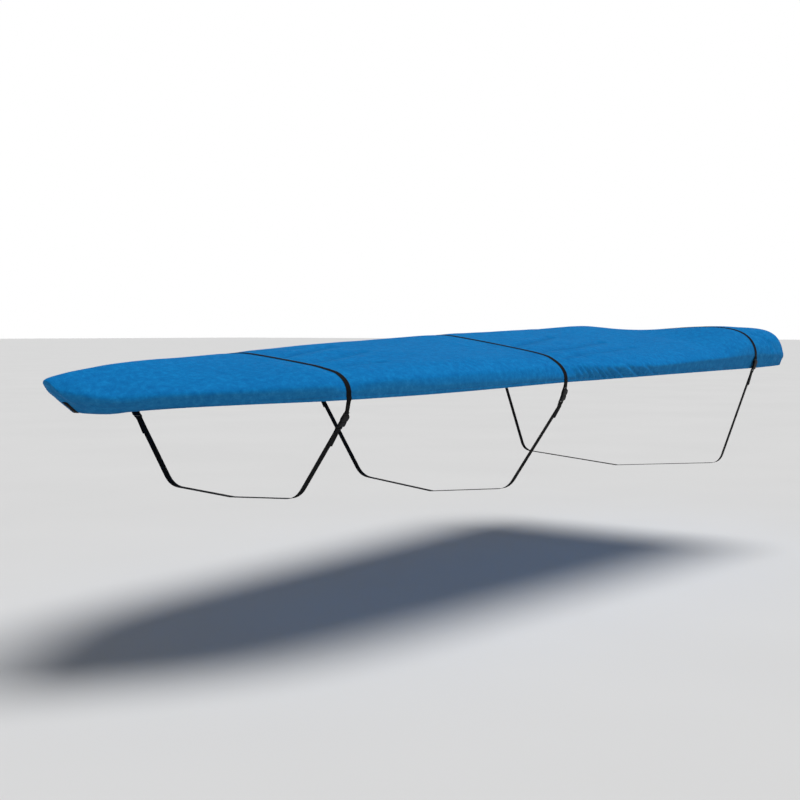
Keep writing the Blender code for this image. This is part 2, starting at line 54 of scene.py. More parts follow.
Section = namedtuple("Section", "station half_beam ridge tent cant edge hem tuck rake crest drift power")
SECTIONS = [Section(*row) for row in (
    (0, 0, -0.136, 0.1, 2.4, -0.146, -0.26, 0, 0.127, 0, 0, 6),
    (0.012, 0.03, -0.133, 0.1, 2.2, -0.15, -0.263, 0.001, 0.127, 0, 0, 8),
    (0.06, 0.088, -0.126, 0.27, 0.82, -0.166, -0.266, 0.004, 0.122, 0, 0, 14),
    (0.14, 0.166, -0.114, 0.4, 0.32, -0.182, -0.257, 0.006, 0.11, 0, 0, 18),
    (0.29, 0.285, -0.094, 0.33, 0.05, -0.197, -0.246, 0.008, 0.075, 0, 0.01, 18),
    (0.49, 0.415, -0.079, 0.235, 0, -0.202, -0.238, 0.008, 0.03, 0, 0.03, 14),
    (0.89, 0.612, -0.06, 0.118, 0, -0.198, -0.229, 0.004, 0, 0, 0.05, 15),
    (1.39, 0.685, -0.029, 0.12, 0, -0.19, -0.221, 0.004, 0, 0, 0.06, 14),
    (2.24, 0.742, 0.009, 0.152, 0, -0.182, -0.203, 0.003, 0, 0, 0.08, 12),
    (2.5, 0.759, 0.018, 0.159, 0, -0.167, -0.2, 0.006, 0, 0, 0.077, 12),
    (3.09, 0.798, 0.035, 0.17, 0, -0.151, -0.192, 0.011, 0, 0, 0.06, 12),
    (3.66, 0.832, 0.055, 0.155, 0, -0.127, -0.185, 0.018, 0, 0, 0.04, 11),
    (4.14, 0.86, 0.029, 0.01, 0, -0.109, -0.18, 0.027, 0, 0.031, 0.01, 11),
    (4.32, 0.871, 0.029, 0, 0, -0.115, -0.175, 0.023, 0, 0.023, 0, 14),
    (LENGTH, 0.879, 0.029, 0, 0, -0.122, -0.168, 0.018, 0, 0.018, 0, 18),
)]
RIDGE_RADIUS = 0.05
CREST_HALF_SPACING = 0.6
STARBOARD_CREST = 0.45
NOSE_STATION = 0.012
STERN_CORNER_RADIUS = 0.05
SHOULDER_START = 0.62
RAKE_POWER = 1.25
HEM_DEPTH = 0.014
HEM_SHARE = 0.45
HEM_ROLL = 0.0012
BOW_TAB_COLUMNS = range(20, 29)
BOW_TAB_ROWS = 10

# The fine grid: the spacing of its cross lines up to each station, and the steps round the rim
BOW_ROW = 0.14
STERN_ROW = 4.32
ROW_BANDS = ((0.5, 0.011), (2.15, 0.02), (3.15, 0.0095), (4.05, 0.02), (STERN_ROW, 0.011))
DECK_COLUMNS = 48
RIM_COLUMN = {-1: 0, 1: DECK_COLUMNS}
SHOULDER_STEPS = 24
SHOULDER_CROWDING = 1.4
SKIRT_STEPS = 12
HEM_STEPS = 6
BOW_CORNER_STEPS = 9
STERN_CORNER_STEPS = 12
NOSE_HALF_WIDTH = 0.075
BISECTIONS = 40
TRANSOM_COLUMN_REACH = 0.62

# Straps: station, how far the buckle's upper bar lies below the hem, how far the strap hangs straight
# before the buckle's lean (in degrees off vertical), the buckle's standoff from the cloth, the corner
# and keel that the strap rounds under the hull, and the share of its width that its top strap shows
Strap = namedtuple("Strap", "name station bar_drop straight lean standoff chine_y chine_z keel_z shown")
STRAPS = [Strap(*row) for row in (
    ("fore", 0.89, 0.046, 0.025, 33.0, 0.0, 0.35, -0.615, -0.635, 0.84),
    ("middle", 2.24, 0.02, 0.004, 18.0, 0.0, 0.436, -0.7, -0.745, 1.0),
    ("aft", 4.125, -0.055, 0.0, 16.0, 0.001, 0.65, -0.72, -0.775, 1.0),
)]
SIDES = (-1, 1)  # port and starboard
TOP_STRAP_WIDTH = 0.025
LOOP_STRAP_WIDTH = 0.032
WEBBING = 0.0015
STRAP_GROOVE = 0.003
GROOVE_REACH = 0.06

# Main folds: two ends, half width and height (a negative height is a trough). They are the packed
# model's, but its pinch on the port side of the fore strap is two folds here and starts more softly.
FOLD_TAPER = 0.6
Fold = namedtuple("Fold", "station girth end_station end_girth half_width height")
FOLDS = [Fold(*row) for row in (
    (0.1, -0.26, 0.16, -0.36, 0.03, 0.004),
    (1.02, -0.1, 1.55, -0.42, 0.06, 0.004),
    (1.05, 0.12, 1.5, 0.46, 0.06, 0.004),
    (0.98, -0.6, 1.3, -0.72, 0.04, 0.004),
    (2.34, -0.66, 2.52, -0.86, 0.035, 0.004),
    (2.42, -0.6, 2.66, -0.84, 0.035, -0.003),
    (2.52, -0.58, 2.84, -0.84, 0.045, 0.003),
    (2.4, -0.2, 3.0, -0.55, 0.07, 0.004),
    (2.38, 0.62, 2.62, 0.86, 0.04, 0.005),
    (3.55, -0.6, 4.0, -0.84, 0.06, 0.004),
    (4.18, 0.66, 4.36, 0.84, 0.05, 0.004),
    (0.89, -0.45, 0.89, -0.67, 0.055, -0.005),
    (0.89, -0.56, 0.89, -0.67, 0.055, -0.006),
    (0.89, 0.53, 0.89, 0.67, 0.055, -0.011),
    (2.24, -0.66, 2.24, -0.79, 0.055, -0.006),
    (2.24, 0.66, 2.24, 0.79, 0.055, -0.006),
)]

# Fine creases: half width, height, and the station and girth of each point. They fade beside a strap.
Crease = namedtuple("Crease", "half_width height points")
CREASES = [Crease(half, height, list(zip(places[::2], places[1::2]))) for half, height, *places in (
    # the top, aft of the fore strap
    (0.024, -0.008, 0.95, -0.18, 1.157, -0.137, 1.312, -0.104),
    (0.024, -0.008, 0.95, -0.345, 1.172, -0.302, 1.332, -0.283),
    (0.022, -0.007, 0.96, -0.475, 1.118, -0.477, 1.212, -0.495),
    (0.026, 0.005, 0.95, -0.26, 1.12, -0.225, 1.26, -0.2),
    (0.026, 0.005, 0.95, -0.41, 1.13, -0.39, 1.3, -0.38),
    # the top, forward of the fore strap
    (0.018, 0.0024, 0.84, -0.09, 0.82, -0.22), (0.016, 0.0022, 0.7, -0.335, 0.79, -0.33),
    (0.016, 0.0022, 0.76, -0.4, 0.85, -0.42),
    # the top, either side of the middle strap
    (0.022, 0.0024, 2.0, -0.12, 2.02, -0.23, 1.98, -0.4, 2.14, -0.5),
    (0.025, -0.009, 2.3, -0.395, 2.368, -0.374, 2.593, -0.323, 2.888, -0.234),
    (0.025, -0.009, 2.3, -0.555, 2.434, -0.531, 2.72, -0.495, 3.096, -0.426),
    (0.02, -0.0075, 2.33, -0.665, 2.453, -0.655, 2.631, -0.637, 2.841, -0.62, 3.148, -0.585),
    (0.028, 0.005, 2.31, -0.475, 2.5, -0.435, 2.8, -0.36),
    (0.024, 0.005, 2.32, -0.61, 2.55, -0.585, 2.85, -0.545),
    # the skirt, aft of the middle strap
    (0.0075, -0.005, 2.3, -0.752, 2.33, -0.802), (0.007, 0.003, 2.322, -0.748, 2.356, -0.8),
    (0.007, -0.005, 2.35, -0.756, 2.385, -0.8), (0.0065, 0.003, 2.366, -0.752, 2.41, -0.805),
    (0.0075, -0.0056, 2.388, -0.762, 2.437, -0.812), (0.0065, 0.0032, 2.394, -0.748, 2.458, -0.814),
    (0.007, -0.005, 2.43, -0.768, 2.48, -0.816), (0.007, 0.0034, 2.434, -0.756, 2.518, -0.824),
    (0.0075, -0.0058, 2.476, -0.776, 2.558, -0.829), (0.007, 0.0032, 2.486, -0.764, 2.584, -0.832),
    (0.008, -0.0056, 2.512, -0.77, 2.608, -0.834), (0.0075, 0.0032, 2.538, -0.775, 2.636, -0.838),
    (0.0085, -0.006, 2.56, -0.782, 2.665, -0.842), (0.009, 0.003, 2.6, -0.78, 2.712, -0.846),
    (0.0085, -0.005, 2.64, -0.79, 2.753, -0.848), (0.009, 0.0032, 2.7, -0.785, 2.825, -0.85),
    (0.0085, -0.0064, 2.758, -0.795, 2.882, -0.854), (0.008, 0.003, 2.796, -0.8, 2.918, -0.858),
    (0.008, -0.0046, 2.834, -0.812, 2.947, -0.86), (0.0085, 0.0026, 2.88, -0.805, 3.0, -0.862),
    (0.009, -0.0046, 2.926, -0.81, 3.043, -0.864),
    # the stern quarter
    (0.02, -0.004, 4.2, -0.8, 4.3, -0.87, 4.4, -0.95),
    (0.012, 0.0026, 4.18, -0.93, 4.3, -0.955, 4.44, -0.96),
    # the stem
    (0.012, -0.0042, 0.065, -0.225, 0.085, -0.27, 0.13, -0.325),
    (0.013, -0.0034, 0.075, -0.19, 0.105, -0.215, 0.15, -0.255),
    (0.012, 0.003, 0.08, -0.21, 0.12, -0.262, 0.15, -0.3),
)]
CREASE_FADE = (0.013, 0.055)

# The crisp edge where the top turns down over the rub rail: its height at each station, and its ridge
SHEER_LINE = (
    (0.02, -0.178), (0.05, -0.19), (0.09, -0.2), (0.14, -0.204), (0.21, -0.198), (0.3, -0.19),
    (0.48, -0.185), (0.64, -0.179), (0.9, -0.169), (1.28, -0.154), (1.78, -0.142), (2.24, -0.132),
    (2.7, -0.141), (3.05, -0.14), (3.5, -0.123), (3.9, -0.116), (4.23, -0.117), (LENGTH, -0.108),
)
SHEER_RIDGE = 0.003
SHEER_WIDTH = 0.016

# Slight unevenness of the cloth: size of the waves and how far they rise and fall
UNEVENNESS = ((0.32, 0.0022), (0.11, 0.0009))
UNEVEN_SEED = Vector((3.7, 1.9, 0.4))

# Finishes: colours at positions of a ramp, noise over the body as (scale, detail, roughness), relief as
# (strength, depth), and the range of roughness
WAVE_PERIOD = math.tau / 20.0  # of a wave texture at scale 1
CLOTH_BLUES = ((0.3, (0.003, 0.15, 0.436)), (0.52, (0.0048, 0.186, 0.5)), (0.74, (0.0082, 0.236, 0.585)))
CLOTH_PITCH = 0.0011
CLOTH_ROUGH = (0.66, 0.84)
MOTTLE = (42.0, 4.0, 0.62)
FADING = (2.6, 2.0, 0.5)
FADED_TONES = ((0.3, (0.93, 0.95, 0.96)), (0.7, (1.06, 1.04, 1.02)))
SLUB = (190.0, 3.0, 0.6)
SLUB_TONES = ((0.28, (0.86, 0.9, 0.92)), (0.72, (1.1, 1.07, 1.06)))
SLUB_RELIEF = (0.35, 0.0012)
CLOTH_RELIEF = (0.45, 0.0004)
WEBBING_BLACKS = (
    (0.3, (0.002, 0.0019, 0.002)), (0.6, (0.0036, 0.0034, 0.0034)), (0.8, (0.0075, 0.0068, 0.0066)),
)
WEBBING_DUST = (60.0, 4.0, 0.65)
WEBBING_ROUGH = (0.62, 0.86)
RIB_PITCH = 0.0018
YARN_PITCH = 0.0016
WEBBING_RELIEF = (0.7, 0.0006)
CLOTH_THREAD = ((0.35, (0.006, 0.075, 0.22)), (0.65, (0.009, 0.11, 0.3)))
WEBBING_THREAD = ((0.35, (0.014, 0.013, 0.013)), (0.65, (0.03, 0.028, 0.027)))
THREAD_ROUGH = 0.55
THREAD_TWIST = (600.0, 2.0, 0.5)
THREAD_RELIEF = (0.4, 0.0002)
PLASTIC_BLACKS = ((0.35, (0.0014, 0.0014, 0.0015)), (0.75, (0.0034, 0.0032, 0.0033)))
PLASTIC_GRAIN = (900.0, 3.0, 0.6)
PLASTIC_WEAR = (110.0, 3.0, 0.55)
PLASTIC_ROUGH = (0.34, 0.56)
PLASTIC_RELIEF = (0.25, 0.0003)
FLOOR_TONES = ((0.3, (0.69, 0.69, 0.69)), (0.7, (0.71, 0.71, 0.71)))
FLOOR_MOTTLE = (0.6, 2.0, 0.5)

# Painted shade darkens and greys the cloth where it hangs and where it faces down. The slopes over which it
# grows, as the normal's height, and its tone at each share of its growth: lying cloth, hanging cloth, and
# cloth that faces the ground
HANGING_SHADE_SLOPE = (-0.8, 0.5)
HANGING_SHADE_TONES = (
    (0.0, (1.0, 1.0, 1.0)), (0.36, (3.0, 0.92, 0.82)), (0.8, (3.1, 0.92, 0.82)), (1.0, (2.8, 0.82, 0.73)),
)

# Painted shade darkens the cloth along the creases: the depth at which it is fullest, and its tones
CREASE_SHADE_DEPTH = 0.009
CREASE_SHADE_TONES = ((0.0, (1.0, 1.0, 1.0)), (1.0, (0.82, 0.86, 0.88)))

# Buckle, in its own axes: across the strap, up the strap, and outwards from it
BUCKLE_REACH = 0.072
BAR = 0.003

MM = 0.001
BODY_STEPS = 32
BODY_POWER = 5.0
EDGE_ROUND = 0.0004
EDGE_SEGMENTS = 2
SHARP_ANGLE = math.radians(35)

# Buckle levels in millimetres from its bar: up, half width, back, front
SOCKET_LEVELS = (
    (-36, 17.4, -0.6, 8.4), (-35.3, 18.3, -1.3, 9.6), (-33, 19.3, -1.5, 10.2),
    (-28, 20.5, -1.5, 10.5), (-22, 21, -1.5, 10.5), (-16, 20.2, -1.5, 10.1),
    (-12.5, 19, -1.5, 8.6), (-9.5, 17.9, -1.5, 5.2), (-7.5, 17.3, -1.5, 2.4),
    (-6.3, 17, -1.5, 1.5), (-1.5, 16.8, -1.5, 1.5), (0.8, 16.3, -1.5, 1.5), (1.5, 15.2, -0.9, 0.9),
)
PLUG_LEVELS = (
    (-1.5, 19.2, -0.9, 0.9), (-0.8, 20.4, -1.5, 1.5), (1.5, 20.9, -1.5, 1.5), (6.3, 20.9, -1.5, 1.5),
    (7.6, 20.8, -1.5, 2.4), (10, 20.5, -1.5, 5.4), (13, 20, -1.5, 8.6), (17, 19.4, -1.5, 10),
    (25, 18.8, -1.5, 10.4), (32, 18.6, -1.5, 10.1), (34.9, 18.2, -1.3, 9.6), (35.6, 17.4, -0.6, 8.4),
)
THROUGH = (-4, 4)
TOP_SLOT = (-4.6, -1.5)
TOP_SLOT_HALF = 13.2
LOOP_SLOT = (1.5, 4.6)
LOOP_SLOT_HALF = 16.6
CAVITY = (-40, -13)
CAVITY_HALF = 16.5
CAVITY_DEPTH = (1.2, 7.8)
WINDOW = ((12, -29), (24, -29), (24, -15), (12, -15))
ARM = (
    (11.5, 34), (15, 34), (15.4, 42.5), (19.8, 44.4), (20.8, 47.5), (20.3, 51.5), (17.8, 55.6),
    (14, 56.6), (12.2, 52), (11.8, 42),
)
ARM_DEPTH = (1.8, 7.2)
TONGUE = (34, 57)
TONGUE_HALF = 2.0

# Sewing: the stitches' length, gap and thickness, how each rises, and where its rows run
STITCH_LENGTH = 0.0038
STITCH_GAP = 0.0012
THREAD_RADIUS = 0.00032
STITCH_RISE = (-0.0001, 0.00018, -0.0001)
HEM_STITCH_ROWS = (0.0125, 0.0155)
EDGE_STITCH = 0.09
BOX_HALF_WIDTH = 0.0095
BOX_CORNERS = ((0.1, -1), (0.1, 1), (0.9, 1), (0.9, -1))
BOX_ROWS = ((0, 1, 2, 3, 0), (0, 2), (1, 3))

# Webbing at a buckle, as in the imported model
WRAP_RADIUS = BAR / 2 + CLEARANCE + WEBBING / 2
WRAP_STEPS = 12
WRAP_LEAD = 0.008
LAP = WEBBING + 2 * CLEARANCE
LAP_START = 0.016
RETURN = 0.032
TAIL = 0.06
TAIL_LIFT = 0.004
WEBBING_LANES = (
    (0.0, 0.0), (0.012, 0.55), (0.045, 0.92), (0.12, 1.0), (0.3, 0.88), (0.5, 0.84),
    (0.7, 0.88), (0.88, 1.0), (0.955, 0.92), (0.988, 0.55), (1.0, 0.0),
)
CLOTH_RUN_END = 0.011
LOOP_LEAD = 0.022
BEND_RADIUS = 0.05
BEND_SHARE = 1 / 3
BEND_STEPS = 10

STATIONS = [row.station for row in SECTIONS]


def secant(column, row):
    """Slope of a column between one row of the sections and the next."""
    low, high = SECTIONS[row], SECTIONS[row + 1]
    return (getattr(high, column) - getattr(low, column)) / (high.station - low.station)


def tangent(column, row):
    """Slope at a row of the smooth curve through a column, which never overshoots."""
    before, after = secant(column, max(row - 1, 0)), secant(column, min(row, len(SECTIONS) - 2))
    return 2.0 * before * after / (before + after) if before * after > 0.0 else 0.0


def section(column, station):
    """Value of a column at any station."""
    row = min(max(bisect_right(STATIONS, station) - 1, 0), len(SECTIONS) - 2)
    low, high = SECTIONS[row], SECTIONS[row + 1]
    span = high.station - low.station
    t = min(max((station - low.station) / span, 0.0), 1.0)
    start, end = getattr(low, column), getattr(high, column)
    leave, arrive = tangent(column, row) * span, tangent(column, row + 1) * span
    return (start * (1 + 2 * t) * (1 - t) ** 2 + leave * t * (1 - t) ** 2
            + end * t * t * (3 - 2 * t) - arrive * t * t * (1 - t))


def fall(y):
    """How far from the centreline the top has fallen, with its ridge rounded."""
    return math.hypot(y, RIDGE_RADIUS) - RIDGE_RADIUS


def cant(station, y):
    """How much lower the top lies to port."""
    return section("cant", station) * fall(y) if y < 0.0 else 0.0


def top_height(station, y):
    """Height of the top of the cover before its shoulder rolls over."""
    offset = min(abs(abs(y) - CREST_HALF_SPACING), CREST_HALF_SPACING)
    swelling = 0.5 + 0.5 * math.cos(math.pi * offset / CREST_HALF_SPACING)
    swelling *= STARBOARD_CREST if y > 0.0 else 1.0
    return (section("ridge", station) - section("tent", station) * fall(y) - cant(station, y)
            + section("crest", station) * swelling)


def rim_height(station, y):
    """Height of the widest point."""
    return section("edge", station) - cant(station, y)


def shoulder_drop(station):
    """How far the shoulder rolls down at the widest point."""
    return top_height(station, section("half_beam", station)) - section("edge", station)


def rolled(power, t):
    """Share of the shoulder's drop at a share t of the half beam."""
    return 1.0 - math.sqrt(max(0.0, 1.0 - abs(t) ** power))


def nose_station(y):
    """Station where the rounded nose, in plan, has this half beam."""
    nose_half_beam = section("half_beam", NOSE_STATION)
    if abs(y) <= nose_half_beam:
        return NOSE_STATION * (y / nose_half_beam) ** 2
    low, high = NOSE_STATION, BOW_ROW
    for _ in range(BISECTIONS):
        middle = (low + high) / 2
        if section("half_beam", middle) < abs(y):
            low = middle
        else:
            high = middle
    return low


def row_spacing(station):
    """Distance between cross lines at a station."""
    return next(spacing for end, spacing in ROW_BANDS if station <= end)


def row_stations():
    """Stations of the cross lines, with one under each edge of each strap."""
    stops = [end for end, _ in ROW_BANDS]
    for strap in STRAPS:
        stops += [strap.station - TOP_STRAP_WIDTH / 2, strap.station + TOP_STRAP_WIDTH / 2]
    rows = [BOW_ROW]
    for stop in sorted(stops):
        start, gap = rows[-1], stop - rows[-1]
        steps = max(1, math.ceil(gap / row_spacing(start + gap / 2)))
        rows += [start + gap * k / steps for k in range(1, steps + 1)]
    return rows


def smooth_step(low, high, value):
    """Rises smoothly from 0 at low to 1 at high."""
    t = min(max((value - low) / (high - low), 0.0), 1.0)
    return t * t * (3 - 2 * t)


def sheer_height(station):
    """Height of the crisp edge at a station."""
    for (start, low), (end, high) in zip(SHEER_LINE, SHEER_LINE[1:]):
        if station <= end:
            return low + (high - low) * max(station - start, 0.0) / (end - start)
    return SHEER_LINE[-1][1]


def fold_height(fold, point):
    """Height of one main fold at a point of the cloth."""
    start = Vector((fold.station, fold.girth))
    along = Vector((fold.end_station, fold.end_girth)) - start
    t = (point - start).dot(along) / along.length_squared
    aside = (point - start - along * t).length / fold.half_width
    beyond = max(-t, t - 1.0, 0.0) * along.length / fold.half_width
    taper = max(0.0, 1.0 - FOLD_TAPER * (2.0 * t - 1.0) ** 2)
    return fold.height * taper * math.exp(-aside ** 2 - beyond ** 2)


def crease_height(crease, point):
    """Height of one fine crease at a point of the cloth."""
    nearest = math.inf
    for start, end in zip(crease.points, crease.points[1:]):
        start, along = Vector(start), Vector(end) - Vector(start)
        t = min(max((point - start).dot(along) / along.length_squared, 0.0), 1.0)
        nearest = min(nearest, (point - start - along * t).length)
    return crease.height * math.exp(-(nearest / crease.half_width) ** 2)


def crease_depth(point):
    """Depth of the deepest crease at a point of the cloth."""
    return max(0.0, -min(crease_height(crease, point) for crease in CREASES))


def relief(station, girth, from_sheer):
    """How far the cloth stands out from its plain form."""
    point = Vector((station, girth))
    rise = sum(fold_height(fold, point) for fold in FOLDS)
    fade = 1.0
    for strap in STRAPS:
        away = abs(station - strap.station)
        rise -= STRAP_GROOVE * math.exp(-(away / GROOVE_REACH) ** 2)
        fade = min(fade, smooth_step(*CREASE_FADE, away))
    if fade > 0.0:
        fine = SHEER_RIDGE * math.exp(-(from_sheer / SHEER_WIDTH) ** 2)
        fine += sum(crease_height(crease, point) for crease in CREASES)
        for size, height in UNEVENNESS:
            place = Vector((station / size, girth / size, 0.0)) + UNEVEN_SEED
            fine += height * noise.noise(place)
        rise += fade * fine
    return rise


class Shell:
    """The cloth's outer surface: a deck grid with a shoulder and skirt all round it."""

    def __init__(self):
        self.bm = bmesh.new()
        # Vertex layers of painted shade: one where the cloth hangs, one along its creases
        for name in ("painted_hanging_shade", "painted_crease_shade"):
            self.bm.verts.layers.float.new(name)
        self.places = {}
        self.from_sheer = {}
        self.skirt = set()
        self.rows = row_stations()
        self.deck = [self.deck_row(station) for station in self.rows]
        self.ring = []
        self.lines = {}
        self.make_profiles()
        self.make_faces()
        self.raise_folds()

    def vertex(self, station, y, z, drift, before=None):
        """Add a vertex and note its place on the cloth, measured on from the one before."""
        vertex = self.bm.verts.new((station + drift - ORIGIN_STATION, y, z))
        girth = abs(y)
        if before:
            girth = abs(self.places[before][1]) + (vertex.co - before.co).length
        self.places[vertex] = (station, math.copysign(girth, y))
        return vertex

    def deck_row(self, station):
        """One cross line of the deck, port to starboard."""
        half = section("half_beam", station)
        drift = section("drift", station)
        power = section("power", station)
        row = []
        for column in range(DECK_COLUMNS + 1):
            t = SHOULDER_START * (2 * column / DECK_COLUMNS - 1)
            y = half * t
            z = top_height(station, y) - shoulder_drop(station) * rolled(power, t)
            row.append(self.vertex(station, y, z, drift * (1 - t * t)))
        return row

    def profile(self, inner, out_station, out_y):
        """One line from the deck's rim over the shoulder and down the skirt to the hem."""
        station, _ = self.places[inner]
        y = inner.co.y
        drift = section("drift", station)
        drop = top_height(out_station, out_y) - rim_height(out_station, out_y)
        power = section("power", out_station)
        line = [inner]
        start = top_height(station, y) - inner.co.z
        start_roll = rolled(power, SHOULDER_START)
        first = math.asin(SHOULDER_START ** (power / 2))
        for step in range(1, SHOULDER_STEPS + 1):
            share = (step / SHOULDER_STEPS) ** SHOULDER_CROWDING
            angle = first + (math.pi / 2 - first) * share
            t = math.sin(angle) ** (2 / power)
            f = (t - SHOULDER_START) / (1 - SHOULDER_START)
            s = station + (out_station - station) * f
            w = y + (out_y - y) * f
            roll = (rolled(power, t) - start_roll) / (1 - start_roll)
            z = top_height(s, w) - start - (drop - start) * roll
            line.append(self.vertex(s, w, z, drift * (1 - t * t), line[-1]))
        inward = Vector((station - out_station, y - out_y)).normalized()
        self.add_skirt(line, inward, out_station, out_y)
        self.measure_from_sheer(line, sheer_height(out_station))
        return line

    def measure_from_sheer(self, line, height):
        """Note how far round the cloth each vertex of a profile lies from the crisp edge."""
        sheer = next(v for v in line if v.co.z < height)
        start = abs(self.places[sheer][1])
        above = line[line.index(sheer) - 1]
        start -= (height - sheer.co.z) / (above.co.z - sheer.co.z) * (above.co - sheer.co).length
        for vertex in line[1:]:
            self.from_sheer[vertex] = abs(self.places[vertex][1]) - start

    def add_skirt(self, line, inward, out_station, out_y):
        """The skirt below the widest point: it draws in to a rolled hem."""
        edge, hem = rim_height(out_station, out_y), section("hem", out_station)
        tuck, rake = section("tuck", out_station), section("rake", out_station)
        hem_top = hem + min(HEM_DEPTH, HEM_SHARE * (edge - hem))
        heights = [edge + (hem_top - edge) * k / SKIRT_STEPS for k in range(1, SKIRT_STEPS + 1)]
        rolls = [0.0] * SKIRT_STEPS
        for k in range(1, HEM_STEPS + 1):
            share = k / HEM_STEPS
            heights.append(hem_top + (hem - hem_top) * share)
            rolls.append(HEM_ROLL * math.sin(math.pi * share))
        for height, roll in zip(heights, rolls):
            down = (edge - height) / (edge - hem)
            place = Vector((out_station, out_y)) + inward * (tuck * down - roll)
            place.x += rake * down ** RAKE_POWER
            line.append(self.vertex(place.x, place.y, height, 0.0, line[-1]))
            self.skirt.add(line[-1])

    def make_profiles(self):
        """Profiles round the whole deck, starting at the bow's port corner."""
        last_row = len(self.rows) - 1
        for column in range(DECK_COLUMNS + 1):
            y = NOSE_HALF_WIDTH * (2 * column / DECK_COLUMNS - 1)
            self.add_profile(0, column, nose_station(y), y)
        self.bow_corner(1)
        for row in range(last_row + 1):
            self.add_side(row, 1)
        self.stern_corner(1, last_row)
        for column in range(DECK_COLUMNS, -1, -1):
            y = TRANSOM_COLUMN_REACH * (2 * column / DECK_COLUMNS - 1)
            self.add_profile(last_row, column, LENGTH, y)
        self.stern_corner(-1, last_row)
        for row in range(last_row, -1, -1):
            self.add_side(row, -1)
        self.bow_corner(-1)

    def add_profile(self, row, column, station, y):
        """Add the profile from a deck vertex to a place on the rim to the ring."""
        self.ring.append(self.profile(self.deck[row][column], station, y))

    def add_side(self, row, side):
        """The profile at one end of a cross line."""
        station = self.rows[row]
        self.add_profile(row, RIM_COLUMN[side], station, side * section("half_beam", station))
        self.lines[(row, side)] = self.ring[-1]

    def bow_corner(self, side):
        """Extra profiles between the nose and the first cross line."""
        start, end = NOSE_HALF_WIDTH, section("half_beam", BOW_ROW)
        places = [start + (end - start) * k / BOW_CORNER_STEPS for k in range(1, BOW_CORNER_STEPS)]
        for y in places[::side]:
            self.add_profile(0, RIM_COLUMN[side], nose_station(y), side * y)

    def stern_corner(self, side, row):
        """Extra profiles that fan round a rounded stern corner."""
        centre = LENGTH - STERN_CORNER_RADIUS
        half = section("half_beam", centre)
        start = half - STERN_CORNER_RADIUS
        shares = [k / STERN_CORNER_STEPS for k in range(1, STERN_CORNER_STEPS)]
        outers = [(STERN_ROW + (centre - STERN_ROW) * t, half) for t in shares]
        for t in (0.0, *shares, 1.0):
            aft, out = math.sin(math.pi / 2 * t), math.cos(math.pi / 2 * t)
            outers.append((centre + STERN_CORNER_RADIUS * aft, start + STERN_CORNER_RADIUS * out))
        outers += [(LENGTH, start + (TRANSOM_COLUMN_REACH - start) * t) for t in shares]
        for station, y in outers[::side]:
            self.add_profile(row, RIM_COLUMN[side], station, side * y)

    def make_faces(self):
        """Faces of the deck, then of the shoulder and skirt between the profiles."""
        for ahead, behind in zip(self.deck, self.deck[1:]):
            for k in range(DECK_COLUMNS):
                self.bm.faces.new((ahead[k], behind[k], behind[k + 1], ahead[k + 1]))
        for one, two in zip(self.ring, self.ring[1:] + self.ring[:1]):
            for k in range(len(one) - 1):
                corners = dict.fromkeys((one[k], two[k], two[k + 1], one[k + 1]))
                self.bm.faces.new(list(corners))
        bmesh.ops.recalc_face_normals(self.bm, faces=self.bm.faces)
        self.bm.normal_update()
        if self.deck[0][0].normal.z < 0.0:
            bmesh.ops.reverse_faces(self.bm, faces=self.bm.faces)

    def raise_folds(self):
        """Move each vertex along its normal by its relief, the skirt level."""
        moves = []
        for vertex in self.bm.verts:
            rise = relief(*self.places[vertex], self.from_sheer.get(vertex, math.inf))
            normal = vertex.normal.copy()
            if vertex in self.skirt:
                normal.z = 0.0
            moves.append((vertex, normal.normalized() * rise))
        for vertex, move in moves:
            vertex.co += move
        self.bm.normal_update()

    def across(self, station):
        """Points and normals over the cover at a station, port to starboard."""
        row = min(range(len(self.rows)), key=lambda k: abs(self.rows[k] - station))
        line = self.lines[(row, -1)][:0:-1] + self.deck[row] + self.lines[(row, 1)][1:]
        return [(v.co.copy(), v.normal.copy()) for v in line]


def set_all(thing, **settings):
    """Set several attributes of a thing."""
    for key, value in settings.items():
        setattr(thing, key, value)
    return thing


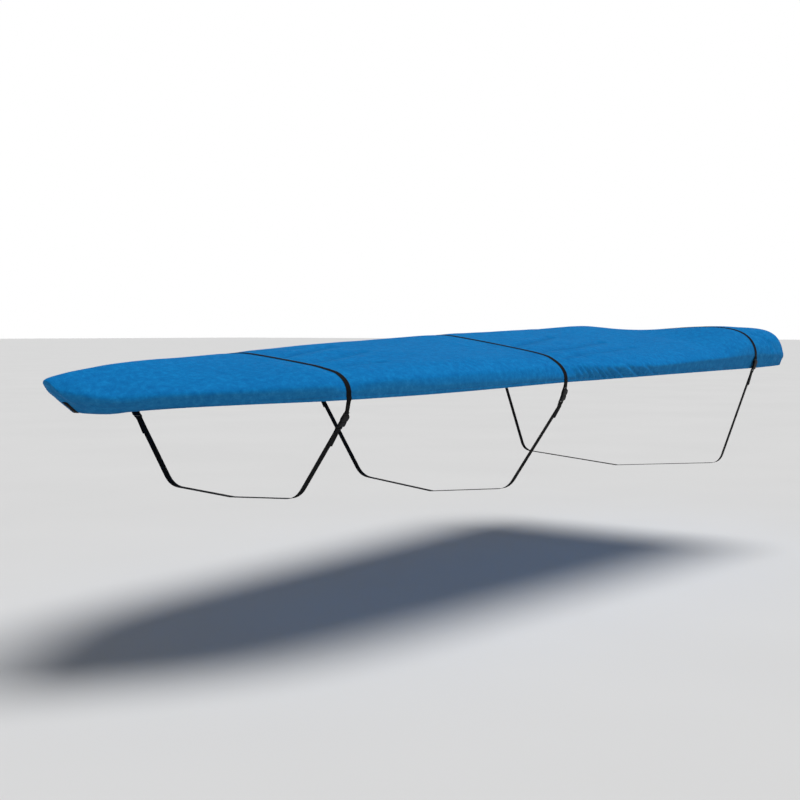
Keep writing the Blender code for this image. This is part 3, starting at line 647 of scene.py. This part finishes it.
class Finish:
    """A material or world in the making: its shader and the nodes that feed it."""

    def __init__(self, owner, shader, **constants):
        self.owner = owner
        owner.use_nodes = True
        self.tree = owner.node_tree
        self.shader = self.tree.nodes[shader]
        self.feed(self.shader, constants)

    def feed(self, node, inputs):
        """Set or link a node's inputs, with underscores for the spaces in their names."""
        for key, value in inputs.items():
            socket = node.inputs[key.replace("_", " ")]
            if isinstance(value, bpy.types.NodeSocket):
                self.tree.links.new(value, socket)
            else:
                socket.default_value = value

    def add(self, kind, output, settings=None, **inputs):
        """One output of a new node with its settings and inputs."""
        node = set_all(self.tree.nodes.new(kind), **(settings or {}))
        self.feed(node, inputs)
        return node.outputs[output]

    def noise(self, scale, detail, roughness):
        """Noise over the body."""
        body = self.add("ShaderNodeTexCoord", "Object")
        return self.add("ShaderNodeTexNoise", "Fac", Vector=body, Scale=scale, Detail=detail,
                        Roughness=roughness)

    def layer(self, name):
        """A value that the mesh holds at each vertex."""
        return self.add("ShaderNodeAttribute", "Fac", {"attribute_name": name})

    def ramp(self, value, stops):
        """A colour ramp from a value."""
        colours = self.add("ShaderNodeValToRGB", "Color", Fac=value)
        elements = colours.node.color_ramp.elements
        while len(elements) < len(stops):
            elements.new(0.5)
        for element, (position, colour) in zip(elements, stops):
            element.position = position
            element.color = (*colour, 1.0)
        return colours

    def tinted(self, base, tone):
        """A colour multiplied by a tone."""
        settings = {"data_type": 'RGBA', "blend_type": 'MULTIPLY'}
        return self.add("ShaderNodeMix", "Result", settings, Factor=1.0, A=base, B=tone)

    def weave(self, *bands):
        """Two bands of threads over each other, each a direction and a pitch in metres."""
        place = self.add("ShaderNodeUVMap", "UV", {"uv_map": "cloth"})
        crossing = self.add("ShaderNodeMath", 0, {"operation": 'MULTIPLY'})
        for socket, (direction, pitch) in zip(crossing.node.inputs, bands):
            wave = self.add("ShaderNodeTexWave", "Fac", {"bands_direction": direction},
                            Vector=place, Scale=WAVE_PERIOD / pitch)
            self.tree.links.new(wave, socket)
        return crossing

    def bump(self, height, relief, **below):
        """Relief from a height, over any relief below it."""
        strength, depth = relief
        return self.add("ShaderNodeBump", "Normal", Height=height, Strength=strength, Distance=depth, **below)

    def between(self, value, limits):
        """A value spread over a range."""
        low, high = limits
        return self.add("ShaderNodeMapRange", "Result", Value=value, To_Min=low, To_Max=high)

    def done(self, **inputs):
        """The material or world, with what varies over it linked."""
        self.feed(self.shader, inputs)
        return self.owner


def surface(name, **constants):
    """A new material's finish."""
    return Finish(bpy.data.materials.new(name), "Principled BSDF", **constants)


def cloth_material():
    """Blue coated polyester: a fine plain weave, mottled and slightly faded."""
    finish = surface("cover_cloth", Sheen_Weight=0.06, Sheen_Roughness=0.45,
                     Sheen_Tint=(0.05, 0.45, 1.0, 1.0), Specular_IOR_Level=0.03)
    mottle, slub = finish.noise(*MOTTLE), finish.noise(*SLUB)
    base = finish.ramp(mottle, CLOTH_BLUES)
    # The last two tones are painted shade: on hanging cloth and along the creases
    for value, tones in ((finish.noise(*FADING), FADED_TONES), (slub, SLUB_TONES),
                         (finish.layer("painted_hanging_shade"), HANGING_SHADE_TONES), (finish.layer("painted_crease_shade"), CREASE_SHADE_TONES)):
        base = finish.tinted(base, finish.ramp(value, tones))
    weave = finish.weave(('X', CLOTH_PITCH), ('Y', CLOTH_PITCH))
    relief_below = finish.bump(slub, SLUB_RELIEF)
    return finish.done(Base_Color=base, Roughness=finish.between(mottle, CLOTH_ROUGH),
                       Normal=finish.bump(weave, CLOTH_RELIEF, Normal=relief_below))


def webbing_material():
    """Black polyester webbing: ribs across and fine diagonal yarns, slightly dusty."""
    finish = surface("webbing", Sheen_Weight=0.02, Specular_IOR_Level=0.08)
    dust = finish.noise(*WEBBING_DUST)
    weave = finish.weave(('Y', RIB_PITCH), ('DIAGONAL', YARN_PITCH))
    return finish.done(
        Base_Color=finish.ramp(dust, WEBBING_BLACKS), Roughness=finish.between(dust, WEBBING_ROUGH),
        Normal=finish.bump(weave, WEBBING_RELIEF))


def thread_material(name, tones):
    """Bonded sewing thread, with the twist of its plies."""
    finish = surface(name, Roughness=THREAD_ROUGH)
    twist = finish.noise(*THREAD_TWIST)
    return finish.done(Base_Color=finish.ramp(twist, tones), Normal=finish.bump(twist, THREAD_RELIEF))


def plastic_material():
    """Moulded black acetal with a fine grain, and slightly polished where it is worn."""
    finish = surface("buckle_plastic", Specular_IOR_Level=0.15)
    wear_and_crease_shade, grain = finish.noise(*PLASTIC_WEAR), finish.noise(*PLASTIC_GRAIN)
    return finish.done(
        Base_Color=finish.ramp(wear_and_crease_shade, PLASTIC_BLACKS), Roughness=finish.between(wear_and_crease_shade, PLASTIC_ROUGH),
        Normal=finish.bump(grain, PLASTIC_RELIEF))


def new_mesh(name, bm):
    """The mesh of a bmesh, which it uses up."""
    mesh = bpy.data.meshes.new(name)
    bm.to_mesh(mesh)
    bm.free()
    return mesh


def new_object(name, data):
    """A new object in the scene."""
    thing = bpy.data.objects.new(name, data)
    bpy.context.scene.collection.objects.link(thing)
    return thing


def add_piece(name, shape, material):
    """Turn a mesh or bmesh into a piece on the body, with its material and slot."""
    if isinstance(shape, bmesh.types.BMesh):
        shape = new_mesh(name, shape)
        shape.materials.append(material)
        shape.shade_smooth()
    piece = new_object(name, shape)
    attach(piece, "root")
    return piece


def map_cloth(bm, places):
    """Map the faces by the places of their vertices on the cloth, in metres."""
    cloth_map = bm.loops.layers.uv.new("cloth")
    for face in bm.faces:
        for loop in face.loops:
            loop[cloth_map].uv = places[loop.vert]


def bridge(bm, rings):
    """Side faces between neighbouring rings of vertices."""
    for one, two in zip(rings, rings[1:]):
        for k in range(len(one)):
            n = (k + 1) % len(one)
            bm.faces.new((one[k], two[k], two[n], one[n]))


def close_ends(bm, rings):
    """A face over the first ring and one over the last."""
    bm.faces.new(rings[0])
    bm.faces.new(rings[-1][::-1])


def make_cover(shell, material):
    """The cloth, thickened inwards, with its place on the cloth as a map in metres."""
    map_cloth(shell.bm, shell.places)
    hanging_shade_layer = shell.bm.verts.layers.float["painted_hanging_shade"]
    wear_and_crease_shade = shell.bm.verts.layers.float["painted_crease_shade"]
    for vertex in shell.bm.verts:
        # Painted shade where the cloth hangs: darker and greyer the further its normal turns from up
        vertex[hanging_shade_layer] = 1.0 - smooth_step(*HANGING_SHADE_SLOPE, vertex.normal.z)
        # Painted shade along the creases: darker the deeper the crease
        vertex[wear_and_crease_shade] = crease_depth(Vector(shell.places[vertex])) / CREASE_SHADE_DEPTH
    cover = add_piece("cover_cloth", shell.bm, material)
    thicken = cover.modifiers.new("cloth thickness", 'SOLIDIFY')
    set_all(thicken, thickness=CLOTH, offset=-1.0, use_rim=True)
    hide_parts("cover")
    return cover


def part_way(points, share):
    """Point at a share of the way along an evenly spaced run of points."""
    place = share * (len(points) - 1)
    k = min(int(place), len(points) - 2)
    return points[k].lerp(points[k + 1], place - k)


def make_ribbon(name, stations, material, width, shown=1.0):
    """A closed strip of webbing with rolled edges, through stations of (points across, normals)."""
    bm = bmesh.new()
    outline = list(WEBBING_LANES) + [(share, -height) for share, height in WEBBING_LANES[-2:0:-1]]
    rings, places, distance, before = [], {}, 0.0, None
    for points, normals in stations:
        centre = part_way(points, 0.5)
        distance += (centre - before).length if before else 0.0
        before = centre
        ring = []
        for share, height in outline:
            lift = part_way(normals, share).normalized() * (WEBBING / 2 * height)
            ring.append(bm.verts.new(part_way(points, 0.5 + shown * (share - 0.5)) + lift))
            places[ring[-1]] = (share * width, distance)
        rings.append(ring)
    bridge(bm, rings)
    map_cloth(bm, places)
    close_ends(bm, rings)
    bmesh.ops.recalc_face_normals(bm, faces=bm.faces)
    return add_piece(name, bm, material)


def wrap(bar, down, outward, turn):
    """Centreline of the webbing round a bar, from behind it to its front."""
    points = []
    for k in range(WRAP_STEPS + 1):
        angle = math.pi * k / WRAP_STEPS
        spoke = down * turn * math.sin(angle) - outward * math.cos(angle)
        points.append(bar + spoke * WRAP_RADIUS)
    return points


def in_plane(points, x, width):
    """Strip stations for a centreline that lies in one cross plane."""
    result = []
    half = Vector((width / 2, 0.0, 0.0))
    for k, point in enumerate(points):
        before, after = points[max(k - 1, 0)], points[min(k + 1, len(points) - 1)]
        normal = Vector((1.0, 0.0, 0.0)).cross((after - before).normalized())
        centre = Vector((x, point.y, point.z))
        result.append(([centre - half, centre + half], [normal, normal]))
    return result


def rounded(points):
    """The same run with its inner corners rounded."""
    result = [points[0]]
    for before, corner, after in zip(points, points[1:], points[2:]):
        into, away = (corner - before).normalized(), (after - corner).normalized()
        room = min((corner - before).length, (after - corner).length)
        reach = min(BEND_RADIUS, BEND_SHARE * room)
        start, end = corner - into * reach, corner + away * reach
        for k in range(BEND_STEPS + 1):
            t = k / BEND_STEPS
            result.append(start * (1 - t) ** 2 + corner * 2 * t * (1 - t) + end * t * t)
    return result + [points[-1]]


End = namedtuple("End", "down outward leave upper lower")


class StrapRun:
    """Where one strap runs: its two buckles and the webbing above and below them."""

    def __init__(self, shell, strap):
        self.strap = strap
        self.x = strap.station - ORIGIN_STATION
        fore_lane, aft_lane = (shell.across(strap.station + side * TOP_STRAP_WIDTH / 2) for side in SIDES)
        self.bar_height = (fore_lane[0][0] + aft_lane[0][0]).z / 2 - strap.bar_drop
        self.over_cover = []
        lift = CLEARANCE + WEBBING / 2
        for (fore, fore_normal), (aft, aft_normal) in zip(fore_lane, aft_lane):
            normal = (fore_normal + aft_normal).normalized()
            if (fore.z + aft.z) / 2 > self.bar_height + CLOTH_RUN_END:
                self.over_cover.append(([fore + normal * lift, aft + normal * lift], [normal, normal]))
        self.ends = {side: self.make_end(side) for side in SIDES}

    def make_end(self, side):
        """One side: its directions, where it leaves the cloth, and its buckle's bars."""
        lean = math.radians(self.strap.lean)
        down = Vector((0.0, -side * math.sin(lean), -math.cos(lean)))
        outward = Vector((0.0, side * math.cos(lean), -math.sin(lean)))
        (fore, aft), _ = self.over_cover[-1 if side > 0 else 0]
        leave = (fore + aft) / 2
        bend = leave - Vector((0.0, 0.0, self.strap.straight))
        run = (bend.z - self.bar_height) / math.cos(lean)
        upper = bend + down * run + outward * (self.strap.standoff + WRAP_RADIUS)
        return End(down, outward, leave, upper, upper + down * BUCKLE_REACH)

    def top_end(self, side):
        """Centreline from the hem to the upper bar, round it and back up in front."""
        down, outward, leave, upper, _ = self.ends[side]
        start = upper - outward * WRAP_RADIUS - down * WRAP_LEAD
        along = (leave - start).normalized()
        front = start + outward * LAP - along * WRAP_LEAD
        around = wrap(upper, down, outward, 1)
        return [start, *around, front + along * LAP_START, front + along * RETURN]

    def top_strap(self, material):
        """The sewn-on strap from buckle to buckle over the cover."""
        port = in_plane(self.top_end(-1)[::-1], self.x, TOP_STRAP_WIDTH)
        starboard = in_plane(self.top_end(1), self.x, TOP_STRAP_WIDTH)
        piece = make_ribbon(f"webbing_top_{self.strap.name}", port + self.over_cover + starboard,
                            material, TOP_STRAP_WIDTH, self.strap.shown)
        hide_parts(f"strap_top_{self.strap.name}")

    def loop_half(self, side):
        """Centreline of one side of the under-hull strap, from free tail to keel."""
        down, outward, _, _, lower = self.ends[side]
        bar = Vector((0.0, lower.y, lower.z))
        behind = bar - outward * WRAP_RADIUS
        front = behind + outward * LAP
        chine = Vector((0.0, side * self.strap.chine_y, self.strap.chine_z))
        keel = Vector((0.0, 0.0, self.strap.keel_z))
        bend = behind + down * LOOP_LEAD
        tail_bend = front + down * LOOP_LEAD
        tail_end = tail_bend + (chine - bend).normalized() * TAIL + outward * TAIL_LIFT
        around = wrap(bar, down, outward, -1)[::-1]
        return [tail_end, tail_bend, front + down * LAP_START, *around,
                *rounded([behind + down * WRAP_LEAD, bend, chine, keel])]

    def loop_strap(self, material):
        """The strap under the hull, with a free tail at each end."""
        points = self.loop_half(-1) + self.loop_half(1)[-2::-1]
        stations = in_plane(points, self.x, LOOP_STRAP_WIDTH)
        piece = make_ribbon(f"webbing_loop_{self.strap.name}", stations, material, LOOP_STRAP_WIDTH)
        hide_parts(f"strap_loop_{self.strap.name}")


def make_bow_tab(shell, material):
    """The short webbing tab sewn up the stem from the hem."""
    lines = [shell.ring[column] for column in BOW_TAB_COLUMNS]
    lift = CLEARANCE + WEBBING / 2
    stations = []
    for row in range(-BOW_TAB_ROWS, 0):
        normals = [line[row].normal.copy() for line in lines]
        points = [line[row].co + normal * lift for line, normal in zip(lines, normals)]
        stations.append((points, normals))
    piece = make_ribbon("webbing_bow_tab", stations, material, TOP_STRAP_WIDTH)
    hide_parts("bow_tab")
    return piece


def up_from_hem(line, distance):
    """Point and normal of a profile at a distance from its hem."""
    for low, high in zip(line[::-1], line[-2::-1]):
        step = (high.co - low.co).length
        if distance <= step:
            share = distance / step
            return low.co.lerp(high.co, share), low.normal.lerp(high.normal, share).normalized()
        distance -= step


def add_stitches(bm, path, lift):
    """Sew along a path of (point, normal), each stitch out of the cloth and back into it."""
    distance, stitch = 0.0, []
    for (start, start_normal), (end, end_normal) in zip(path, path[1:]):
        step = (end - start).length
        while distance <= step:
            share = distance / step if step else 0.0
            normal = start_normal.lerp(end_normal, share).normalized()
            stitch.append((start.lerp(end, share), normal))
            if len(stitch) == 3:
                add_stitch(bm, stitch, lift)
                stitch = []
                distance += STITCH_GAP
            else:
                distance += STITCH_LENGTH / 2
        distance -= step


def add_stitch(bm, stitch, lift):
    """One stitch: three triangular rings of thread through three points."""
    rings = []
    along = (stitch[2][0] - stitch[0][0]).normalized()
    for (point, normal), rise in zip(stitch, STITCH_RISE):
        aside = along.cross(normal)
        centre = point + normal * (lift + rise)
        spokes = (aside, normal, -aside)
        rings.append([bm.verts.new(centre + spoke * THREAD_RADIUS) for spoke in spokes])
    bridge(bm, rings)
    close_ends(bm, rings)


def make_hem_stitching(shell, material):
    """Two rows of stitches round the whole hem."""
    bm = bmesh.new()
    for distance in HEM_STITCH_ROWS:
        path = [up_from_hem(line, distance) for line in shell.ring]
        add_stitches(bm, path + path[:1], 0.0)
    return add_piece("hem_stitching", bm, material)


def make_strap_stitching(runs, material):
    """A row of stitches near each edge of each top strap, and a box over each folded end."""
    bm = bmesh.new()
    for run in runs:
        for share in (EDGE_STITCH, 1.0 - EDGE_STITCH):
            path = [(part_way(points, share), normals[0]) for points, normals in run.over_cover]
            add_stitches(bm, path, WEBBING / 2)
        for side in SIDES:
            low, high = run.top_end(side)[-2:]
            corners = []
            for share, aside in BOX_CORNERS:
                spot = low.lerp(high, share)
                place = Vector((run.x + aside * BOX_HALF_WIDTH, spot.y, spot.z))
                corners.append((place, run.ends[side].outward))
            for order in BOX_ROWS:
                add_stitches(bm, [corners[k] for k in order], WEBBING / 2)
    return add_piece("webbing_stitching", bm, material)


def solid(rings):
    """A closed body through rings of points, in millimetres."""
    bm = bmesh.new()
    rings = [[bm.verts.new((x * MM, y * MM, z * MM)) for x, y, z in ring] for ring in rings]
    bridge(bm, rings)
    close_ends(bm, rings)
    bmesh.ops.recalc_face_normals(bm, faces=bm.faces)
    return bm


def loft(levels):
    """A body through rounded cross-sections: each level is (up, half width, back, front)."""
    rings = []
    for up, half, back, front in levels:
        middle, depth = (front + back) / 2, (front - back) / 2
        ring = []
        for k in range(BODY_STEPS):
            c, s = math.cos(math.tau * k / BODY_STEPS), math.sin(math.tau * k / BODY_STEPS)
            x = half * math.copysign(abs(c) ** (2 / BODY_POWER), c)
            z = middle + depth * math.copysign(abs(s) ** (2 / BODY_POWER), s)
            ring.append((x, up, z))
        rings.append(ring)
    return solid(rings)


def prism(outline, depth):
    """A plate with an outline across and up, from back to front."""
    return solid([[(x, y, z) for x, y in outline] for z in depth])


def block(half, span, depth):
    """A rectangular plate: its half width, its span up the buckle, and its depth."""
    low, high = span
    return prism(((-half, low), (half, low), (half, high), (-half, high)), depth)


def pair(outline, depth):
    """The same plate on both sides of the buckle's middle."""
    return [prism([(side * x, y) for x, y in outline], depth) for side in SIDES]


def carve(body, cuts, joins=()):
    """The mesh of a body with others cut out of it or joined to it, its edges softened."""
    base = new_object("body", new_mesh("body", body))
    helpers = [base]
    for operation, others in (('DIFFERENCE', cuts), ('UNION', joins)):
        for other in others:
            helpers.append(new_object("helper", new_mesh("helper", other)))
            change = base.modifiers.new("change", 'BOOLEAN')
            set_all(change, operation=operation, solver='EXACT', object=helpers[-1])
    soften = base.modifiers.new("soften", 'BEVEL')
    set_all(soften, width=EDGE_ROUND, segments=EDGE_SEGMENTS, limit_method='ANGLE', angle_limit=SHARP_ANGLE)
    graph = bpy.context.evaluated_depsgraph_get()
    mesh = bpy.data.meshes.new_from_object(base.evaluated_get(graph))
    for helper in helpers:
        bpy.data.objects.remove(helper)
    mesh.shade_smooth()
    mesh.set_sharp_from_angle(angle=SHARP_ANGLE)
    return mesh


def buckle_meshes(plastic):
    """The socket and the plug of a side-release buckle, in their own axes."""
    socket = carve(loft(SOCKET_LEVELS), [
        block(TOP_SLOT_HALF, TOP_SLOT, THROUGH), block(CAVITY_HALF, CAVITY, CAVITY_DEPTH),
        *pair(WINDOW, CAVITY_DEPTH),
    ])
    plug = carve(loft(PLUG_LEVELS), [block(LOOP_SLOT_HALF, LOOP_SLOT, THROUGH)],
                 [block(TONGUE_HALF, TONGUE, ARM_DEPTH), *pair(ARM, ARM_DEPTH)])
    for mesh in (socket, plug):
        mesh.materials.clear()
        mesh.materials.append(plastic)
    return socket, plug


def make_buckles(runs, plastic):
    """A socket on the upper strap and a plug on the lower one, on each side."""
    socket, plug = buckle_meshes(plastic)
    for run in runs:
        for side, label in zip(SIDES, ("port", "starboard")):
            down, outward, _, upper, lower = run.ends[side]
            axes = Matrix(((-down).cross(outward), -down, outward)).transposed().to_4x4()
            for kind, mesh, bar in (("socket", socket, upper), ("plug", plug, lower)):
                place = f"{kind}_{run.strap.name}_{label}"
                piece = add_piece(f"clip_{place}", mesh, plastic)
                piece.matrix_world = Matrix.Translation((run.x, bar.y, bar.z)) @ axes
                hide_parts(f"buckle_{place}")


# Camera, floor and light. The camera stands off the port bow, a little above the hem.
CAMERA_PLACE = (-4.974, -3.608, 0.021)
CAMERA_HEADING = 52.5
CAMERA_DOWN = 3.05
CAMERA_LENS = 57.375
SENSOR = 36.0
VIEW_REACH = 500.0
FLOOR_Z = -1.215
FLOOR_SIZE = 400.0
SKY_TONES = ((0.255, (1.0, 1.0, 1.0)), (0.33, (0.07, 0.07, 0.07)))
SUN_STRENGTH = 2.75
SUN_SPREAD = 40.0
SUN_AIM = (-0.22, 0.20, -1.0)


def make_camera():
    """The camera, at the reference view of the object."""
    data = bpy.data.cameras.new("camera")
    set_all(data, lens=CAMERA_LENS, sensor_width=SENSOR, sensor_fit='HORIZONTAL', clip_end=VIEW_REACH)
    camera = new_object("camera", data)
    camera.location = CAMERA_PLACE
    camera.rotation_euler = (math.radians(90.0 - CAMERA_DOWN), 0.0, math.radians(-CAMERA_HEADING))
    bpy.context.scene.camera = camera


def make_floor():
    """A plain pale floor."""
    bm = bmesh.new()
    bmesh.ops.create_grid(bm, x_segments=1, y_segments=1, size=FLOOR_SIZE / 2)
    floor = new_object("floor", new_mesh("floor", bm))
    floor.location.z = FLOOR_Z
    finish = surface("floor", Roughness=0.95, Specular_IOR_Level=0.0)
    base = finish.ramp(finish.noise(*FLOOR_MOTTLE), FLOOR_TONES)
    floor.data.materials.append(finish.done(Base_Color=base))


def make_light():
    """A soft high sun, and a surround white at the horizon and dim overhead."""
    sky = Finish(bpy.data.worlds.new("studio"), "Background")
    direction = sky.add("ShaderNodeTexCoord", "Generated")
    height = sky.add("ShaderNodeSeparateXYZ", "Z", Vector=direction)
    bpy.context.scene.world = sky.done(Color=sky.ramp(height, SKY_TONES))
    data = set_all(bpy.data.lights.new("sun", 'SUN'), energy=SUN_STRENGTH, angle=math.radians(SUN_SPREAD))
    light = new_object("sun", data)
    light.rotation_euler = Vector(SUN_AIM).to_track_quat('-Z', 'Y').to_euler()
    bpy.context.scene.view_settings.view_transform = 'Standard'


def main():
    """Dress the whole cover."""
    make_camera()
    cloth, webbing = cloth_material(), webbing_material()
    plastic = plastic_material()
    thread = thread_material("cloth_thread", CLOTH_THREAD)
    webbing_thread = thread_material("webbing_thread", WEBBING_THREAD)
    shell = Shell()
    runs = [StrapRun(shell, strap) for strap in STRAPS]
    for run in runs:
        run.top_strap(webbing)
        run.loop_strap(webbing)
    make_strap_stitching(runs, webbing_thread)
    make_buckles(runs, plastic)
    hem_stitching = make_hem_stitching(shell, thread)
    bow_tab = make_bow_tab(shell, webbing)
    cover = make_cover(shell, cloth)
    make_floor()
    make_light()


main()
